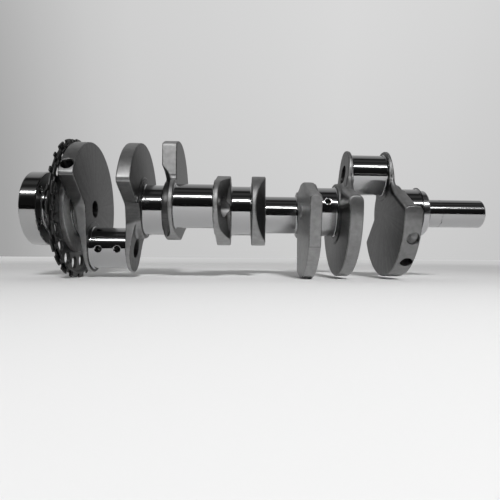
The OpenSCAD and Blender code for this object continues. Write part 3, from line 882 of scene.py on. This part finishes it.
def black_oxide():
    material, tree, shader = surface("black_oxide", (0.02, 0.02, 0.022), 0.36, 0.0,
                                     Specular_IOR_Level=0.4)
    tint = ramp(tree, noise(tree, 260, detail=4), [(0.35, 0.007), (0.7, 0.02)])
    tree.links.new(tint, shader.inputs["Base Color"])
    bump(tree, shader, noise(tree, 900), 0.0001, 0.3)
    return material


def turned_steel():
    material, tree, shader = surface("turned_steel", (0.55, 0.55, 0.56), 0.2)
    bump(tree, shader, noise(tree, 1400, (1, 0.02, 0.02), 2), 0.00002, 0.5)
    return material


# ---------------------------------------------------------------- camera
# Place in metres, and turns in radians
CAMERA_PLACE = Vector((0.270863, -0.595389, -0.061555))
YAW, PITCH, ROLL = -0.0557821, 0.0163532, 0.0073049
LENS, SENSOR, SHIFT = 31.976, 36, -0.03614


def camera_axes():
    """Directions to the right, upwards and forward of the camera."""
    turn = Matrix.Rotation(YAW, 3, "Z") @ Matrix.Rotation(PITCH, 3, "X")
    forward = turn @ Vector((0, 1, 0))
    right = turn @ Vector((1, 0, 0))
    up = right.cross(forward)
    return (math.cos(ROLL) * right + math.sin(ROLL) * up,
            math.cos(ROLL) * up - math.sin(ROLL) * right, forward)


def make_camera():
    data = bpy.data.cameras.new("camera")
    data.lens, data.sensor_width, data.shift_x = LENS, SENSOR, SHIFT
    data.clip_start = 0.01
    camera = bpy.data.objects.new("camera", data)
    right, up, forward = camera_axes()
    basis = Matrix((right, up, -forward)).transposed().to_4x4()
    camera.matrix_world = Matrix.Translation(CAMERA_PLACE) @ basis
    bpy.context.scene.collection.objects.link(camera)
    bpy.context.scene.camera = camera


# ---------------------------------------------------------------- studio
# Light that the studio gives from each direction round the shaft, in degrees upwards from the
# level of the axis on the camera's side
STUDIO = [(-180, 0.62), (-90, 0.5), (-30, 0.5), (-10, 0.3), (-4, 0.01), (25, 0.012), (34, 0.03),
          (39, 0.3), (44, 0.5), (49, 0.35), (55, 0.12), (63, 0.025), (70, 0.025), (76, 0.07),
          (85, 0.06), (91, 0.02), (99, 0.02), (107, 0.25), (125, 0.38), (150, 0.5), (180, 0.6)]
# The same light towards either end of the shaft, and the backdrop from left to right
STUDIO_ENDS = [(0.0, 1.0), (0.45, 1.0), (0.8, 0.55), (1.0, 0.4)]
BACKDROP = [(0.2, 0.36), (0.27, 0.39), (0.312, 0.49), (0.35, 0.56), (0.39, 0.60), (0.52, 0.635),
            (0.6, 0.66), (0.705, 0.64), (0.8, 0.59)]
# Floor: radius, middle of its darker part, and by distance over the radius the paper colour,
# darker near that middle as painted shade, and its glow, which is painted light
FLOOR_R, FLOOR_MIDDLE = 12, (0.27, -0.45)
PAPER_PAINTED_SHADE = [(0.02, 0.72), (0.04, 0.74), (0.06, 0.76), (0.1, 0.8)]
PAPER_GLOW = [(0.046, 0.0), (0.08, 0.02), (0.12, 0.1), (0.225, 0.35), (0.5, 0.45)]
# Black card: both ends, distance in front of the shaft, and top edge
CARD_X0, CARD_X1, CARD_Y, CARD_TOP = -1.6, 2.1, -0.63, 0.03


def make_world():
    """Studio light all round; the camera itself sees a plain pale backdrop."""
    world = bpy.data.worlds.new("studio")
    bpy.context.scene.world = world
    tree = node_tree(world)
    where = tree.nodes.new("ShaderNodeTexCoord")
    split = tree.nodes.new("ShaderNodeSeparateXYZ")
    tree.links.new(where.outputs["Generated"], split.inputs[0])

    def maths(kind, a, b=None):
        made = add_node(tree, "ShaderNodeMath", operation=kind)
        for socket, value in zip(made.inputs, (a, b)):
            if value is None:
                continue
            if isinstance(value, (int, float)):
                socket.default_value = value
            else:
                tree.links.new(value, socket)
        return made.outputs[0]

    back = maths("MULTIPLY", split.outputs["Y"], -1)
    angle = maths("ARCTAN2", split.outputs["Z"], back)
    turn = maths("ADD", maths("DIVIDE", angle, 2 * math.pi), 0.5)
    peak = max(level for _, level in STUDIO)
    profile = ramp(tree, turn, [((a + 180) / 360, level / peak) for a, level in STUDIO])
    aside = maths("ABSOLUTE", split.outputs["X"])
    glow = maths("MULTIPLY", maths("MULTIPLY", profile, ramp(tree, aside, STUDIO_ENDS)), peak)
    across = maths("ADD", maths("MULTIPLY", split.outputs["X"], 0.5), 0.5)
    rise = maths("ADD", maths("MULTIPLY", split.outputs["Z"], 0.25), 0.93)
    seen = maths("MULTIPLY", ramp(tree, across, BACKDROP), rise)
    path = tree.nodes.new("ShaderNodeLightPath")
    mix = add_node(tree, "ShaderNodeMix", data_type="RGBA")
    tree.links.new(path.outputs["Is Camera Ray"], mix.inputs[0])
    tree.links.new(glow, mix.inputs[6])
    tree.links.new(seen, mix.inputs[7])
    background = tree.nodes.new("ShaderNodeBackground")
    out = tree.nodes.new("ShaderNodeOutputWorld")
    tree.links.new(mix.outputs[2], background.inputs["Color"])
    tree.links.new(background.outputs[0], out.inputs[0])


def stage_object(name, points, material):
    """One flat face that isn't part of the object."""
    mesh = bpy.data.meshes.new(name)
    mesh.from_pydata(points, [], [range(len(points))])
    mesh.materials.append(material)
    made = bpy.data.objects.new(name, mesh)
    bpy.context.scene.collection.objects.link(made)
    return made


def make_floor(level):
    material, tree, shader = surface("paper", (0.8, 0.8, 0.8), 0.9, 0.0, Specular_IOR_Level=0.1)
    where = tree.nodes.new("ShaderNodeTexCoord")
    distance = add_node(tree, "ShaderNodeVectorMath", operation="DISTANCE")
    distance.inputs[1].default_value = (*FLOOR_MIDDLE, level)
    tree.links.new(where.outputs["Object"], distance.inputs[0])
    reach = add_node(tree, "ShaderNodeMath", operation="DIVIDE")
    reach.inputs[1].default_value = FLOOR_R
    tree.links.new(distance.outputs["Value"], reach.inputs[0])
    # Paper darker near the middle as painted shade, glowing further out as painted light
    tree.links.new(ramp(tree, reach.outputs[0], PAPER_PAINTED_SHADE), shader.inputs["Base Color"])
    tree.links.new(ramp(tree, reach.outputs[0], PAPER_GLOW), shader.inputs["Emission Color"])
    shader.inputs["Emission Strength"].default_value = 1
    rim = [math.radians(t) for t in range(0, 360, 5)]
    stage_object("floor", [(FLOOR_R * math.cos(t), FLOOR_R * math.sin(t), level) for t in rim],
                 material)


def make_card(level):
    """Black card in front of the shaft, seen only in reflections: a painted dark reflection."""
    corners = [(CARD_X0, CARD_Y, level), (CARD_X1, CARD_Y, level),
               (CARD_X1, CARD_Y, CARD_TOP), (CARD_X0, CARD_Y, CARD_TOP)]
    material = surface("black_card", (0.012, 0.012, 0.012), 1.0, 0.0, Specular_IOR_Level=0.0)[0]
    card = stage_object("flag", corners, material)
    card.visible_camera = card.visible_diffuse = card.visible_shadow = False


def make_light(name, at, aim, size, power, spread=180):
    """Area light of a size in metres and a power in watts, aimed at a point."""
    data = bpy.data.lights.new(name, "AREA")
    data.shape = "RECTANGLE"
    data.size, data.size_y = size
    data.energy = power
    data.spread = math.radians(spread)
    light = bpy.data.objects.new(name, data)
    light.location = at
    light.rotation_euler = (Vector(aim) - Vector(at)).to_track_quat("-Z", "Y").to_euler()
    bpy.context.scene.collection.objects.link(light)
    return light


# ---------------------------------------------------------------- the crankshaft
steel, forged, black, turned = ground_steel(), forging(), black_oxide(), turned_steel()
for number in range(1, 9):
    build_web(number, forged)
for k, oil_angle in enumerate(ROD_OIL_ANGLES):
    towards = math.radians(PIN_ANGLES[k])
    middle = [PIN_X[k], THROW * math.cos(towards), THROW * math.sin(towards)]
    build_journal("rod_journal_%d" % (k + 1), middle, ROD_R, ROD_W,
                  [(x, oil_angle, *ROD_OIL) for x in (-ROD_OIL_X, ROD_OIL_X)], ROD_BORE_R, steel)
for k, oil_angles in enumerate(MAIN_OIL_ANGLES):
    build_journal("main_journal_%d" % (k + 1), [MAIN_X[k], 0, 0], MAIN_R, MAIN_W,
                  [(0, a, *MAIN_OIL) for a in oil_angles], AXIS_BORE_R if k else 0, steel,
                  PILOT_SEAT_END - MAIN_X[k] if k == 4 else None)
build_plate("reluctor_rear_plate", REAR_DISH, 1, black)
build_plate("reluctor_front_plate", FRONT_DISH, 0, black)
# The flange's front face gets a dark colour that is painted shade
build_flange(ground_steel("flange_steel", 0.08))
build_snout(steel)
build_front_hub(turned)
build_register(forged)
build_plug(turned)
build_key(turned)
build_rivets(black)

make_camera()
make_world()
lowest = min(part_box(n)[0].z for n in nodes)
make_floor(lowest - 0.0001)
make_card(lowest)
make_light("strip", (0.1, -1.5, 1.45), (0.1, 0, 0), (2.6, 0.13), 23).visible_diffuse = False
make_light("spot", (0.55, -1.9, 0.83), (0.3, 0.1, -0.05), (0.3, 0.08), 9,
           spread=70).visible_glossy = False
make_light("fill", (0.3, 0.5, 1.6), (0.3, 0.3, 0), (3.0, 2.0), 6).visible_glossy = False
bpy.context.scene.view_settings.view_transform = "Standard"
